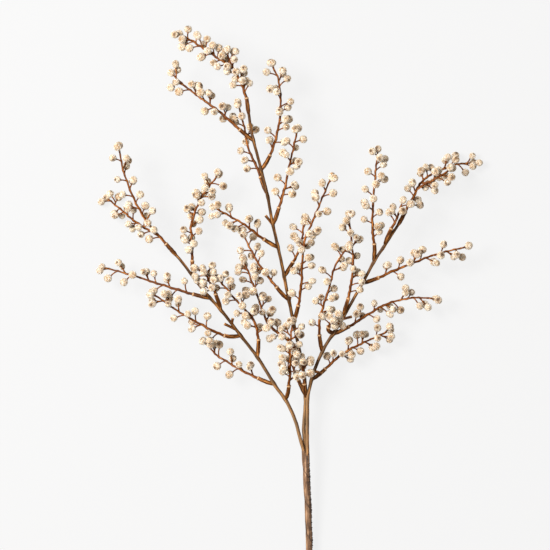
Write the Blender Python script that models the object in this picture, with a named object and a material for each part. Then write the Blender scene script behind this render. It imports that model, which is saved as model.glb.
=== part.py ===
"""Branch of felted wattle berries, lying on its back on a table.

A foot wrapped in paper tape holds three wired stems. Moulded berry sprigs are plugged along them.
The routes were read in millimetres, seen from above: x to the right, y from the cut end to the
tips, z up from the table. The last step turns the branch into metres round the middle of its box.
"""
import math
import random
from collections import namedtuple

import bmesh
import bpy
import numpy as np

MM = 0.001

# Driving sizes, in millimetres
BERRY_DIAMETER = 9.5
STALK_LENGTH = 9.5
STALK_LEAN = 52         # degrees off the twig
STALK_RADIUS = 0.65
STALK_ROOT_RADIUS = 0.5
TWIG_RADIUS = 1.0
TWIG_TIP_RADIUS = 0.7
PLUG_RADIUS = 2.0
PLUG_END_RADIUS = 1.25
PLUG_LENGTH = 18.0
PLUG_NECK = 0.72        # share of the plug's radius left at its step
STEM_RADII = (2.05, 1.5)
TRUNK_RADII = (3.6, 4.3)
PEG_RADIUS = 1.45
PEG_RISE = 2.0
SEAT_GAP = 0.3
CLEARANCE = 0.6

# How the berries are spread: bare runs at a twig's two ends, the turn between a pair, and the seeded
# play in place, turn, lean, length and size
BARE_AFTER_PLUG = 3.0
BARE_SIDE_TWIG = 6.0
BARE_TIP = 3.0
LONGEST_BARE = 0.45
PAIR_TURN = 26
PLACE_PLAY = 0.2
TURN_PLAY = 28
LEAN_PLAY = 9
LENGTH_PLAY = 0.2
SIZE_PLAY = 0.07
SECOND_LENGTH = 1.12

# What the branch lies on: the foot's end and two tip berries, cut flat where they touch
TRUNK_SIDES = 10
FOOT_FLAT = 8.0
FOOT_HEIGHT = TRUNK_RADII[0] * math.cos(math.pi / TRUNK_SIDES)
RESTING_HEIGHT = 0.86 * BERRY_DIAMETER / 2
FLOOR_CLEARANCE = 2.0

# How fine the facets are
TWIG_SIDES = 5
STEM_SIDES = 7
PEG_SIDES = 6
BALL_SIDES = 6
BALL_SWELL = 1.08       # how far a facet's corner stands out, for a ball of the true volume
STEM_SEGMENT = 17.0
TWIG_SEGMENT = 14.0
SAMPLE_STEP = 1.5
SEAT_STEP = 0.1
UPWARD_HINT = (0.13, 0.21, 0.97)
KEPT_BERRIES = 2        # every second berry is modelled here

TRUNK_ROUTE = ((0, 0, FOOT_HEIGHT), (0, FOOT_FLAT, FOOT_HEIGHT), (-1, 60, 8.5), (-1.5, 112, 15),
               (-3, 160, 21), (-5, 200, 26.5), (-6, 228, 30))

# Each stem: its place in the trunk's top face (across, up), then its route
STEMS = {
    "left_stem": ((-2.4, 1.1), (
        (-13, 250, 33), (-19, 272, 36), (-30, 297, 40), (-45, 318, 43), (-66, 352, 47), (-92, 386, 50),
        (-112, 412, 52), (-135, 438, 53), (-160, 471, 53), (-170, 483, 53))),
    "middle_stem": ((-0.2, -2.6), (
        (-8.5, 262, 27), (-7, 285, 29), (-6, 305, 32), (-8, 330, 37), (-14, 360, 43), (-19, 385, 48),
        (-28, 428, 56), (-38, 478, 64), (-48, 522, 70), (-54, 555, 74), (-62, 588, 77), (-70, 618, 79),
        (-75, 640, 80), (-78, 660, 80))),
    "right_stem": ((2.3, 1.4), (
        (-4, 262, 33.5), (-3.5, 300, 36), (0, 320, 38), (6, 340, 40), (18, 367, 43), (31, 387, 46),
        (42, 406, 49), (66, 449, 55), (80, 475, 58), (95, 498, 61), (110, 521, 63))),
}

# Cut pegs of left-off sprigs: the stem, where the peg leaves it, and where it ends, seen from above
PEGS = (
    ("left_stem", (-95, 389), (-109, 396)),
    ("left_stem", (-99, 396), (-98, 403)),
    ("middle_stem", (-48, 521), (-57, 532)),
    ("middle_stem", (-27, 424), (-24, 437)),
    ("right_stem", (35, 395), (32, 410)),
    ("right_stem", (40, 402), (52, 405)),
    ("right_stem", (5, 336), (15, 333)),
)

# Each sprig: its stem, its route seen from above, its heights spread evenly along it, and its berries
# from base to tip: r right, l left, f front, b back, a capital for a forked stalk, t at the tip
SPRIGS = {
    "sprig_left_1": ("left_stem", (
        (-46, 318), (-60, 324), (-75, 331), (-88, 337), (-100, 344), (-110, 350), (-120, 357),
        (-134, 372)), (43, 38, 32, 27), "RflRlrRft"),
    "sprig_left_2": ("left_stem", (
        (-88, 380), (-104, 380), (-121, 386), (-139, 396), (-157, 406), (-177, 419), (-198, 434)),
        (49, 55, 60, 62), "lfrLrflRfRLft"),
    "sprig_left_3": ("left_stem", (
        (-126, 428), (-147, 433), (-168, 439), (-200, 449), (-225, 457), (-262, 467)),
        (53, 48, 40, 30), "rlRlrRflRlft"),
    "sprig_left_4": ("left_stem", (
        (-112, 412), (-121, 437), (-128, 451), (-134, 464)), (52, 62, 75), "LlffRlrRlfLt"),
    "sprig_left_5": ("left_stem", (
        (-145, 451), (-149, 470), (-150, 505), (-151, 520), (-144, 543), (-133, 563), (-118, 582)),
        (53, 44, 41, 46), "fflLrlbRrLlffLrRblrft"),
    "sprig_left_6": ("left_stem", (
        (-66, 353), (-66, 378), (-72, 401), (-82, 413), (-97, 429), (-104, 438), (-116, 452)),
        (47, 56, 62), "rLbFlfRlfRlrt"),
    "sprig_left_7": ("left_stem", (
        (-31, 299), (-28, 313), (-26, 345), (-26, 372), (-23, 397)), (40, 58, 70, 76),
        "RllLrlRlrflRLrft"),
    "sprig_middle_1": ("middle_stem", (
        (-6, 303), (-19, 333), (-28, 362)), (31, 19, 11), "rlbRlrft"),
    "sprig_middle_2": ("middle_stem", (
        (-6, 300), (-8, 320), (-11, 352)), (33, 50, 64), "rlRft"),
    "sprig_middle_3": ("middle_stem", (
        (-14, 360), (-30, 377), (-46, 388), (-56, 400), (-64, 422), (-71, 440), (-85, 477)),
        (43, 36, 30, 28), "LrrlRfLRrflRlRlLft"),
    "sprig_middle_4": ("middle_stem", (
        (-28, 424), (-42, 441), (-56, 459), (-70, 479), (-86, 511)), (56, 62, 63, 58), "rfLrBlrft"),
    "sprig_middle_5": ("middle_stem", (
        (-33, 455), (-20, 478), (-12, 496), (-9, 522)), (60, 50, 40), "lfRlrlft"),
    "sprig_middle_6": ("middle_stem", (
        (-42, 492), (-60, 503), (-80, 518), (-98, 529), (-120, 541)), (67, 76, 84, 88), "rlRlLrLft"),
    "sprig_middle_7": ("middle_stem", (
        (-47, 520), (-40, 542), (-33, 565), (-27, 594), (-17, 638)), (70, 78, 85, 90),
        "lrRlfrRLblrft"),
    "sprig_middle_8": ("middle_stem", (
        (-62, 588), (-51, 608), (-42, 636), (-38, 665), (-40, 700), (-49, 722)), (77, 70, 62, 55),
        "LrlrRrBrfLrRlft"),
    "sprig_middle_9": ("middle_stem", (
        (-72, 624), (-88, 638), (-113, 660), (-138, 679), (-158, 694), (-173, 709)),
        (79, 84, 76, 62), "bbRflRfrRlflRt"),
    "sprig_middle_10": ("middle_stem", (
        (-55, 554), (-66, 588), (-78, 615), (-83, 640), (-91, 672)), (74, 66, 62, 62), "lLlbRlLft"),
    "sprig_middle_top": ("middle_stem", (
        (-79, 667), (-81, 680), (-89, 700), (-97, 715), (-105, 733)), (80, 84, 87), "rRllRrLlflRft"),
    "sprig_centre": ("middle_stem", (
        (-19, 398), (-16, 418), (-12, 445), (-11, 470), (-8, 500), (3, 527), (15, 556), (24, 577)),
        (51, 74, 82, 88), "lrrLrRflfRlfrLrLft"),
    "sprig_right_1": ("right_stem", (
        (1, 324), (15, 335), (30, 349), (50, 363), (73, 374), (99, 386)), (38, 31, 26, 24),
        "llfRrLrlLRflRft"),
    "sprig_right_2": ("right_stem", (
        (14, 360), (11, 382), (12, 405), (22, 438), (31, 470), (47, 494)), (42, 56, 66, 72),
        "lbRLRrflRrlft"),
    "sprig_right_3": ("right_stem", (
        (29, 384), (22, 388), (24, 396), (33, 408)), (46, 66, 84), "lRfrft"),
    "sprig_right_4": ("right_stem", (
        (38, 400), (47, 427), (52, 455), (53, 480), (48, 532)), (49, 60, 60, 52), "rrRflbLRrLlft"),
    "sprig_right_5": ("right_stem", (
        (27, 381), (48, 392), (67, 404), (95, 420), (125, 428), (157, 428)), (45, 42, 37, 32),
        "LLrBrRrLlrRft"),
    "sprig_right_6": ("right_stem", (
        (64, 446), (83, 453), (105, 463), (135, 475), (160, 484), (197, 493)), (55, 50, 46, 42),
        "LrlfLlRrlRrft"),
    "sprig_right_7": ("right_stem", (
        (78, 472), (80, 490), (77, 520), (78, 555), (80, 580), (83, 612)), (58, 70, 80, 86),
        "rRlrLflfRlrRft"),
    "sprig_right_8": ("right_stem", (
        (90, 490), (99, 512), (108, 530), (114, 548)), (60, 70, 77), "lLfrt"),
    "sprig_right_tip": ("right_stem", (
        (115, 529), (126, 550), (142, 577), (165, 591), (185, 598), (206, 601)),
        (63, 56, 46, 34, 20, 6), "rrlLrRLllRrLllrRft"),
    "sprig_left_tip": ("left_stem", (
        (-175, 489), (-186, 501), (-200, 517), (-213, 536), (-225, 560), (-236, 592), (-240, 616)),
        (53, 60, 67, 70), "lfFrrLrlRlbRlft"),
}

# Sprigs plugged into the end of their stem
END_SPRIGS = ("sprig_middle_top", "sprig_right_tip", "sprig_left_tip")

# Side twigs moulded with a sprig, from where they leave it: route, heights, berries
FORKS = {
    "sprig_middle_top": (((-96, 714), (-110, 724), (-124, 733), (-147, 749), (-162, 758)),
                         (85, 84, 78, 70), "lrlrRllrRlrlLrft"),
    "sprig_right_tip": (((135, 566), (146, 573), (160, 580), (175, 590)), (51, 55, 58), "rrLrRft"),
    "sprig_left_tip": (((-192, 507), (-202, 513), (-220, 524), (-240, 540), (-259, 555)),
                       (64, 52, 30, 5), "lrLrrLlRft"),
}

# Twigs whose tip berry lies on the table
RESTING_TWIGS = ("sprig_right_tip", "sprig_left_tip_fork")

# Turns round the twig and shares of the length that a stalk tries until its berry is clear
TRY_TURNS = (0, 25, -25, 50, -50, 80, -80, 110, -110, 145)
TRY_LENGTHS = (1.0, 1.25, 0.8)
SIDE_TURNS = {"r": 0, "f": 90, "l": 180, "b": 270}

# A twig: the sprig it belongs to, its rings and their radii, points close together along it, its berries
Twig = namedtuple("Twig", "sprig rings radii route pattern")


def unit(vector):
    """The vector at length one."""
    return vector / np.linalg.norm(vector)


def smooth_route(points):
    """Points every SAMPLE_STEP or so along a Catmull-Rom curve through the given points."""
    knots = np.array(points, dtype=float)
    first = 2 * knots[0] - knots[1]
    last = 2 * knots[-1] - knots[-2]
    knots = np.vstack([first, knots, last])
    curve = [knots[1]]
    for a, b, c, d in zip(knots, knots[1:], knots[2:], knots[3:]):
        count = max(2, int(np.linalg.norm(c - b) / SAMPLE_STEP))
        for t in np.arange(1, count + 1) / count:
            bend = (2 * a - 5 * b + 4 * c - d) * t * t + (3 * b - a - 3 * c + d) * t ** 3
            curve.append(0.5 * (2 * b + (c - a) * t + bend))
    return np.array(curve)


def lengths_along(route):
    """Distance from the route's start to each of its points."""
    steps = np.linalg.norm(np.diff(route, axis=0), axis=1)
    return np.concatenate([[0.0], np.cumsum(steps)])


def points_at(route, distances):
    """Points of the route at the given distances from its start."""
    along = lengths_along(route)
    return np.column_stack([np.interp(distances, along, route[:, axis]) for axis in range(3)])


def direction_at(route, distance):
    """Direction of travel on the route at a distance from its start."""
    before, after = points_at(route, [distance - 2.0, distance + 2.0])
    return unit(after - before)


def raised(plan, heights):
    """Plan points with the heights spread evenly along them."""
    flat = np.array([(x, y, 0.0) for x, y in plan])
    along = lengths_along(flat)
    stations = np.linspace(0, along[-1], len(heights))
    flat[:, 2] = np.interp(along, stations, heights)
    return flat


def nearest(route, x, y):
    """Index of the route's point that lies nearest in plan."""
    return int(np.argmin(np.hypot(route[:, 0] - x, route[:, 1] - y)))


def along_chords(rings):
    """Points close together on the straight runs between a tube's rings."""
    total = lengths_along(rings)[-1]
    return points_at(rings, np.linspace(0, total, int(total / SAMPLE_STEP)))


def stem_rings(name, trunk):
    """Ring centres of a stem, from its seat over the trunk's top face."""
    (across, up), points = STEMS[name]
    travel = direction_at(trunk, lengths_along(trunk)[-1])
    sideways = unit(np.cross(travel, (0, 0, 1)))
    upward = np.cross(sideways, travel)
    seat = trunk[-1] + travel * SEAT_GAP + sideways * across + upward * up
    route = smooth_route([seat, seat + travel * 6.0, *points])
    total = lengths_along(route)[-1]
    return points_at(route, np.linspace(0.0, total, int(total / STEM_SEGMENT) + 1))


def plugged_route(name, stems):
    """Smooth route of a sprig that starts clear of its stem by the seat gap."""
    host, plan, heights, _ = SPRIGS[name]
    stem = stems[host]
    points = raised(plan, heights)
    if name in END_SPRIGS:
        start = stem[-1] + unit(stem[-1] - stem[-2]) * SEAT_GAP
        return smooth_route([start, *points[1:]])
    index = nearest(stem, *plan[0])
    route = smooth_route([stem[index], *points[1:]])
    stem_radius = np.interp(index, (0, len(stem)), STEM_RADII)
    total = lengths_along(route)[-1]
    for start in np.arange(1.0, 0.5 * total, SEAT_STEP):
        travel = direction_at(route, start)
        sideways = unit(np.cross(travel, UPWARD_HINT))
        other = np.cross(travel, sideways)
        turns = np.linspace(0, 2 * math.pi, 24)[:, None]
        rim = points_at(route, [start]) + PLUG_END_RADIUS * (
            np.cos(turns) * sideways + np.sin(turns) * other)
        reach = np.linalg.norm(rim[:, None] - stem[None], axis=2).min()
        if reach > stem_radius + SEAT_GAP:
            break
    return points_at(route, np.arange(start, total, SAMPLE_STEP))


def ringed_twig(sprig, route, pattern, side_twig):
    """Twig with a thick plug that tapers to a step, then a thin run; a side twig has no plug."""
    total = lengths_along(route)[-1]
    if side_twig:
        first, distances, radii = 0.0, [], []
    else:
        first = min(PLUG_LENGTH, 0.4 * total)
        distances = [0.0, 3.0, first - 0.5]
        radii = [PLUG_END_RADIUS, PLUG_RADIUS, PLUG_NECK * PLUG_RADIUS]
    run = np.linspace(first, total, max(3, round((total - first) / TWIG_SEGMENT)) + 1)
    distances = [*distances, *run]
    radii = [*radii, *np.linspace(TWIG_RADIUS, TWIG_TIP_RADIUS, len(run))]
    rings = points_at(route, distances)
    return Twig(sprig, rings, radii, along_chords(rings), pattern)


def lay_out_twigs():
    """Route of the trunk, rings of the stems, and every twig."""
    trunk = smooth_route(TRUNK_ROUTE)
    stems = {name: stem_rings(name, trunk) for name in STEMS}
    close = {name: along_chords(rings) for name, rings in stems.items()}
    twigs = {}
    for name, (_, _, _, pattern) in SPRIGS.items():
        twigs[name] = ringed_twig(name, plugged_route(name, close), pattern, False)
        if name in FORKS:
            plan, heights, fork_pattern = FORKS[name]
            points = raised(plan, heights)
            main = twigs[name].route
            points[0] = main[nearest(main, *plan[0])]
            twigs[name + "_fork"] = ringed_twig(name, smooth_route(points), fork_pattern, True)
    return trunk, stems, twigs


class Occupied:
    """Spheres along everything already placed, asked whether new spheres are clear of them."""

    def __init__(self):
        self.centres = np.zeros((0, 3))
        self.radii = np.zeros(0)
        self.owners = np.zeros(0, dtype=int)
        self.kinds = np.zeros(0, dtype=int)

    def add(self, centres, radii, owner, kind):
        """Add spheres of a sprig, of the kind twig 0, stalk 1 or berry 2."""
        self.centres = np.vstack([self.centres, centres])
        self.radii = np.concatenate([self.radii, np.broadcast_to(radii, len(centres))])
        self.owners = np.concatenate([self.owners, np.full(len(centres), owner)])
        self.kinds = np.concatenate([self.kinds, np.full(len(centres), kind)])

    def clear(self, centres, radius, skip):
        """True where every sphere is the clearance away from all those that are not skipped."""
        gaps = np.linalg.norm(self.centres[None] - centres[:, None], axis=2) - self.radii - radius
        return bool(np.all(gaps[:, ~skip] > CLEARANCE))


def stations(name, route, pattern, side_twig):
    """Distance along the twig of each berry's stalk, evenly spread with a little seeded play."""
    draw = random.Random(name + " stations")
    total = lengths_along(route)[-1]
    start = BARE_SIDE_TWIG if side_twig else PLUG_LENGTH + BARE_AFTER_PLUG
    start = min(start, LONGEST_BARE * total)
    pitch = (total - BARE_TIP - start) / len(pattern)
    shares = [i + 0.5 + draw.uniform(-PLACE_PLAY, PLACE_PLAY) for i in range(len(pattern))]
    return [start + pitch * share for share in shares]


def set_berries(stems, trunk, twigs):
    """Root, centre and radius of every berry, turned round its twig until it is clear of the rest."""
    occupied = Occupied()
    owners = {name: number for number, name in enumerate(SPRIGS)}
    occupied.add(trunk, TRUNK_RADII[1], -1, 0)
    for rings in stems.values():
        occupied.add(along_chords(rings), STEM_RADII[0], -1, 0)
    for twig in twigs.values():
        plug = lengths_along(twig.route) < PLUG_LENGTH
        occupied.add(twig.route, np.where(plug, PLUG_RADIUS, TWIG_RADIUS), owners[twig.sprig], 0)
    berries = {name: [] for name in twigs}
    for name, twig in twigs.items():
        radius = BERRY_DIAMETER / 2
        travel = unit(twig.route[-1] - twig.route[-3])
        centre = twig.route[-1] + travel * radius * 0.75
        if name in RESTING_TWIGS:
            centre[2] = RESTING_HEIGHT
        berries[name].append((twig.route[-1] - travel * 2.0, centre, radius))
        occupied.add(centre[None], radius, owners[twig.sprig], 2)
    for name, twig in twigs.items():
        draw = random.Random(name)
        places = stations(name, twig.route, twig.pattern[:-1], name not in SPRIGS)
        for letter, place in zip(twig.pattern, places):
            turns = (-PAIR_TURN, PAIR_TURN) if letter.isupper() else (0,)
            for turn in turns:
                side = SIDE_TURNS[letter.lower()] + turn + draw.uniform(-TURN_PLAY, TURN_PLAY)
                radius = BERRY_DIAMETER / 2 * draw.uniform(1 - SIZE_PLAY, 1 + SIZE_PLAY)
                lean = STALK_LEAN + draw.uniform(-LEAN_PLAY, LEAN_PLAY)
                length = STALK_LENGTH * draw.uniform(1 - LENGTH_PLAY, 1 + LENGTH_PLAY)
                if turn > 0:
                    length *= SECOND_LENGTH
                found = clear_place(twig.route, place + turn / PAIR_TURN, side, math.radians(lean),
                                    length, radius, owners[twig.sprig], occupied)
                if found:
                    berries[name].append(found)
    return berries


def clear_place(route, place, side, lean, length, radius, owner, occupied):
    """The first tried stalk whose berry and stalk are clear of everything placed so far."""
    root = points_at(route, [place])[0]
    travel = direction_at(route, place)
    right = unit(np.cross(travel, (0, 0, 1)))
    front = np.cross(right, travel)
    own = occupied.owners == owner
    for share in TRY_LENGTHS:
        for turn in TRY_TURNS:
            angle = math.radians(side + turn)
            outward = math.cos(angle) * right + math.sin(angle) * front
            axis = math.cos(lean) * travel + math.sin(lean) * outward
            centre = root + axis * (length * share + radius)
            if centre[2] - radius < FLOOR_CLEARANCE:
                continue
            stalk = root + axis * np.linspace(2.5, length * share, 5)[:, None]
            no_skip = np.zeros(len(own), dtype=bool)
            stalk_skip = own & (occupied.kinds < 2)
            if not occupied.clear(centre[None], radius, no_skip):
                continue
            if not occupied.clear(stalk, STALK_RADIUS, stalk_skip):
                continue
            occupied.add(centre[None], radius, owner, 2)
            occupied.add(stalk, STALK_RADIUS, owner, 1)
            return root, centre, radius
    return None


def new_object(name, vertices, faces, material):
    """A mesh object from points in millimetres, its faces turned outward and shaded smooth."""
    mesh = bpy.data.meshes.new(name)
    mesh.from_pydata([tuple(v) for v in vertices], [], faces)
    mesh.materials.append(material)
    shell = bmesh.new()
    shell.from_mesh(mesh)
    bmesh.ops.recalc_face_normals(shell, faces=shell.faces)
    shell.to_mesh(mesh)
    shell.free()
    mesh.shade_smooth()
    obj = bpy.data.objects.new(name, mesh)
    bpy.context.scene.collection.objects.link(obj)
    return obj


def tube(name, points, radii, sides, material, first_travel=None):
    """Closed faceted tube through the points, with one radius at each and flat ends."""
    points = np.array(points)
    travels = np.gradient(points, axis=0)
    if first_travel is not None:
        travels[0] = first_travel
    vertices = []
    upward = np.array((0.0, 0.0, 1.0))
    for point, travel, radius in zip(points, travels, radii):
        travel = unit(travel)
        upward = unit(upward - travel * upward.dot(travel))
        sideways = np.cross(travel, upward)
        for side in range(sides):
            angle = 2 * math.pi * (side + 0.5) / sides
            vertices.append(point + radius * (math.sin(angle) * sideways - math.cos(angle) * upward))
    faces = []
    for ring in range(len(points) - 1):
        for side in range(sides):
            a = ring * sides + side
            b = ring * sides + (side + 1) % sides
            faces.append((a, b, b + sides, a + sides))
    faces.append(tuple(range(sides)))
    faces.append(tuple(range(len(vertices) - sides, len(vertices))))
    return new_object(name, vertices, faces, material)


def stalked_berry(root, centre, radius, material):
    """A three-sided stalk that widens into a faceted ball."""
    axis = unit(centre - root)
    sideways = unit(np.cross(axis, UPWARD_HINT))
    other = np.cross(axis, sideways)
    outer = BALL_SWELL * radius
    rings = ((root, STALK_ROOT_RADIUS, 3, 0.0),
             (centre - axis * outer * 0.93, STALK_RADIUS, 3, 0.0),
             (centre - axis * outer * 0.45, outer * 0.89, BALL_SIDES, 0.0),
             (centre + axis * outer * 0.45, outer * 0.89, BALL_SIDES, 0.5))
    vertices = []
    for middle, ring_radius, sides, shift in rings:
        for side in range(sides):
            angle = 2 * math.pi * (side + shift) / sides
            vertices.append(middle + ring_radius * (math.cos(angle) * sideways + math.sin(angle) * other))
    vertices.append(centre + axis * outer)
    top = len(vertices) - 1
    faces = [(0, 1, 2)]
    for side in range(3):
        here, there = side, (side + 1) % 3
        faces.append((here, there, 3 + there, 3 + here))
        left, middle, right = (6 + (2 * side + step) % BALL_SIDES for step in range(3))
        faces.append((3 + here, middle, left))
        faces.append((3 + here, 3 + there, middle))
        faces.append((3 + there, right, middle))
    for side in range(BALL_SIDES):
        here, there = side, (side + 1) % BALL_SIDES
        faces.append((6 + here, 6 + there, 12 + here))
        faces.append((6 + there, 12 + there, 12 + here))
        faces.append((12 + here, 12 + there, top))
    return new_object("berry", vertices, faces, material)


def join_solids(body, others):
    """Union of the body and the other solids, which are removed afterwards."""
    group = bpy.data.collections.new("joined")
    for other in others:
        group.objects.link(other)
    union = body.modifiers.new("union", "BOOLEAN")
    union.operation = "UNION"
    union.operand_type = "COLLECTION"
    union.collection = group
    bpy.context.view_layer.update()
    graph = bpy.context.evaluated_depsgraph_get()
    joined = bpy.data.meshes.new_from_object(body.evaluated_get(graph))
    body.modifiers.remove(union)
    body.data = joined
    for other in others:
        bpy.data.objects.remove(other, do_unlink=True)
    bpy.data.collections.remove(group)


def cut_at_table(obj):
    """Flat spot where the solid reaches below the table."""
    shell = bmesh.new()
    shell.from_mesh(obj.data)
    everything = shell.verts[:] + shell.edges[:] + shell.faces[:]
    cut = bmesh.ops.bisect_plane(shell, geom=everything, plane_co=(0, 0, 0), plane_no=(0, 0, -1),
                                 clear_outer=True)
    rim = [item for item in cut["geom_cut"] if isinstance(item, bmesh.types.BMEdge)]
    bmesh.ops.edgeloop_fill(shell, edges=rim)
    bmesh.ops.recalc_face_normals(shell, faces=shell.faces)
    shell.to_mesh(obj.data)
    shell.free()


def finish(name, colour, roughness):
    """A Principled material with one colour and roughness."""
    material = bpy.data.materials.new(name)
    material.use_nodes = True
    shader = material.node_tree.nodes["Principled BSDF"]
    shader.inputs["Base Color"].default_value = (*colour, 1.0)
    shader.inputs["Roughness"].default_value = roughness
    shader.inputs["Metallic"].default_value = 0.0
    return material


def build_trunk(trunk, material):
    """Wrapped foot, flat underneath at its cut end."""
    total = lengths_along(trunk)[-1]
    distances = [0.0, FOOT_FLAT, *np.linspace(0.0, total, 9)[2:]]
    radii = np.interp(distances, (FOOT_FLAT, total), TRUNK_RADII)
    tube("trunk_wrap", points_at(trunk, distances), radii, TRUNK_SIDES, material, (0, 1, 0))


def build_stem(name, rings, trunk, material):
    """Taped wire stem with its cut pegs."""
    radii = np.linspace(STEM_RADII[0], STEM_RADII[1], len(rings))
    seat_travel = direction_at(trunk, lengths_along(trunk)[-1])
    body = tube(name, rings, radii, STEM_SIDES, material, seat_travel)
    stem = along_chords(rings)
    pegs = []
    for host, (x, y), (end_x, end_y) in PEGS:
        if host == name:
            root = stem[nearest(stem, x, y)]
            end = np.array((end_x, end_y, root[2] + PEG_RISE))
            pegs.append(tube("peg", [root, end], [PEG_RADIUS, PEG_RADIUS], PEG_SIDES, material))
    if pegs:
        join_solids(body, pegs)


def build_sprig(name, twigs, berries, stems, material):
    """One leafy stem: its twig, its side twig if it has one, and their berries, fused."""
    solids = []
    stem = stems[SPRIGS[name][0]]
    seat_travel = stem[-1] - stem[-2] if name in END_SPRIGS else None
    for twig in (name, name + "_fork"):
        if twig not in twigs:
            continue
        rings, radii = twigs[twig].rings, twigs[twig].radii
        solids.append(tube(name, rings, radii, TWIG_SIDES, material, seat_travel))
        seat_travel = None
        for root, centre, radius in berries[twig][::KEPT_BERRIES]:
            solids.append(stalked_berry(root, centre, radius, material))
    join_solids(solids[0], solids[1:])
    if any(twig in RESTING_TWIGS for twig in (name, name + "_fork")):
        cut_at_table(solids[0])
    solids[0].data.shade_smooth()


def settle_in_metres():
    """Move the branch to the middle of its box at table height and turn it into metres."""
    objects = list(bpy.context.scene.objects)
    corners = np.vstack([[vertex.co[:] for vertex in obj.data.vertices] for obj in objects])
    low, high = corners.min(axis=0), corners.max(axis=0)
    middle = (low + high) / 2
    for obj in objects:
        for vertex in obj.data.vertices:
            x, y, z = vertex.co
            vertex.co = ((x - middle[0]) * MM, (y - middle[1]) * MM, z * MM)


def main():
    """Build the branch from its foot to its tips."""
    for obj in list(bpy.data.objects):
        bpy.data.objects.remove(obj, do_unlink=True)
    tape = finish("paper_tape", (0.27, 0.17, 0.10), 0.85)
    taped_wire = finish("stem_plastic", (0.19, 0.11, 0.05), 0.55)
    felt = finish("berry_felt", (0.60, 0.50, 0.34), 0.95)
    trunk, stems, twigs = lay_out_twigs()
    berries = set_berries(stems, trunk, twigs)
    build_trunk(trunk, tape)
    for name, rings in stems.items():
        build_stem(name, rings, trunk, taped_wire)
    for name in SPRIGS:
        build_sprig(name, twigs, berries, stems, felt)
    settle_in_metres()


main()
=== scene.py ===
"""Branch of felted wattle berries lying on a pale table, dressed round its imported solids."""
import math
import random

import bpy
import numpy as np
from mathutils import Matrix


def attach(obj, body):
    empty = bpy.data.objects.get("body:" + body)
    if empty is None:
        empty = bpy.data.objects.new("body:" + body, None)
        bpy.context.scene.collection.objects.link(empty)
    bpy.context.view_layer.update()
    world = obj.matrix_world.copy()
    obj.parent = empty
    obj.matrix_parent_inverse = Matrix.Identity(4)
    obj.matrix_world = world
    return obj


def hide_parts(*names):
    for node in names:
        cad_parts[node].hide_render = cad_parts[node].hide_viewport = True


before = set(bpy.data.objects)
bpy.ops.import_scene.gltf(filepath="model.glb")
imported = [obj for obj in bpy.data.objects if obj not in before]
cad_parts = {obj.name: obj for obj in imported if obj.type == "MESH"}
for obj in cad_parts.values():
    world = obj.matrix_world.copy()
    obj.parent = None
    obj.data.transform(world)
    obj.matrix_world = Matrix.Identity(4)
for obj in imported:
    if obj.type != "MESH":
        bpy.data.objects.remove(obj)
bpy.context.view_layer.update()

# Studio: the branch lies on a pale seamless table, seen from straight above. A wide soft light stands
# on its left, as in the photograph, and an even room fills the shadows. The table glows nearly white
# to the camera, and less and warmer to the branch.
MM = 0.001
BRANCH_MIDDLE = (-29.22, 382.41)
PHOTO_CENTRE = (-45.0, 457.5)
PHOTO_WIDTH = 687.5
CAMERA_HEIGHT = 3.0
SENSOR_WIDTH = 36.0
BRANCH_HEIGHT = 0.075
TABLE_SIZE = 14.0
TABLE_COLOUR = (0.032, 0.033, 0.035, 1.0)
TABLE_GLOW = (0.82, 0.82, 0.82, 1.0)
TABLE_BOUNCE = (0.45, 0.40, 0.33, 1.0)
ROOM_COLOUR = (1.0, 0.93, 0.84, 1.0)
ROOM_STRENGTH = 0.62
KEY_COLOUR = (1.0, 0.97, 0.93)
KEY_POWER = 145.0
KEY_SIZE = 1.0
KEY_PLACE = (-1.25, 0.60, 2.25)


def placed(points):
    """Points in the branch's millimetres as metres in the frame: less the box's middle, over 1000."""
    return (np.asarray(points) - (*BRANCH_MIDDLE, 0.0)) * MM


table_mesh = bpy.data.meshes.new("table")
edge = TABLE_SIZE / 2
table_mesh.from_pydata([(-edge, -edge, 0), (edge, -edge, 0), (edge, edge, 0), (-edge, edge, 0)],
                       [], [(0, 1, 2, 3)])
table = bpy.data.objects.new("table", table_mesh)
bpy.context.scene.collection.objects.link(table)

table_paint = bpy.data.materials.new("table_paint")
table_paint.use_nodes = True
table_shader = table_paint.node_tree.nodes["Principled BSDF"]
table_shader.inputs["Base Color"].default_value = TABLE_COLOUR
table_shader.inputs["Roughness"].default_value = 0.9
table_shader.inputs["Emission Strength"].default_value = 1.0
table_tree = table_paint.node_tree
seen = table_tree.nodes.new("ShaderNodeLightPath")
glow = table_tree.nodes.new("ShaderNodeMix")
glow.data_type = "RGBA"
glow.inputs[6].default_value = TABLE_BOUNCE
glow.inputs[7].default_value = TABLE_GLOW
table_tree.links.new(seen.outputs["Is Camera Ray"], glow.inputs["Factor"])
table_tree.links.new(glow.outputs[2], table_shader.inputs["Emission Color"])
table_mesh.materials.append(table_paint)

room = bpy.data.worlds.new("room")
room.use_nodes = True
room.node_tree.nodes["Background"].inputs["Color"].default_value = ROOM_COLOUR
room.node_tree.nodes["Background"].inputs["Strength"].default_value = ROOM_STRENGTH
bpy.context.scene.world = room
bpy.context.scene.view_settings.view_transform = "Standard"

key_data = bpy.data.lights.new("left_light", "AREA")
key_data.energy = KEY_POWER
key_data.size = KEY_SIZE
key_data.color = KEY_COLOUR
key = bpy.data.objects.new("left_light", key_data)
key.location = KEY_PLACE
key.rotation_euler = key.location.to_track_quat("Z", "Y").to_euler()
bpy.context.scene.collection.objects.link(key)

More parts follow.
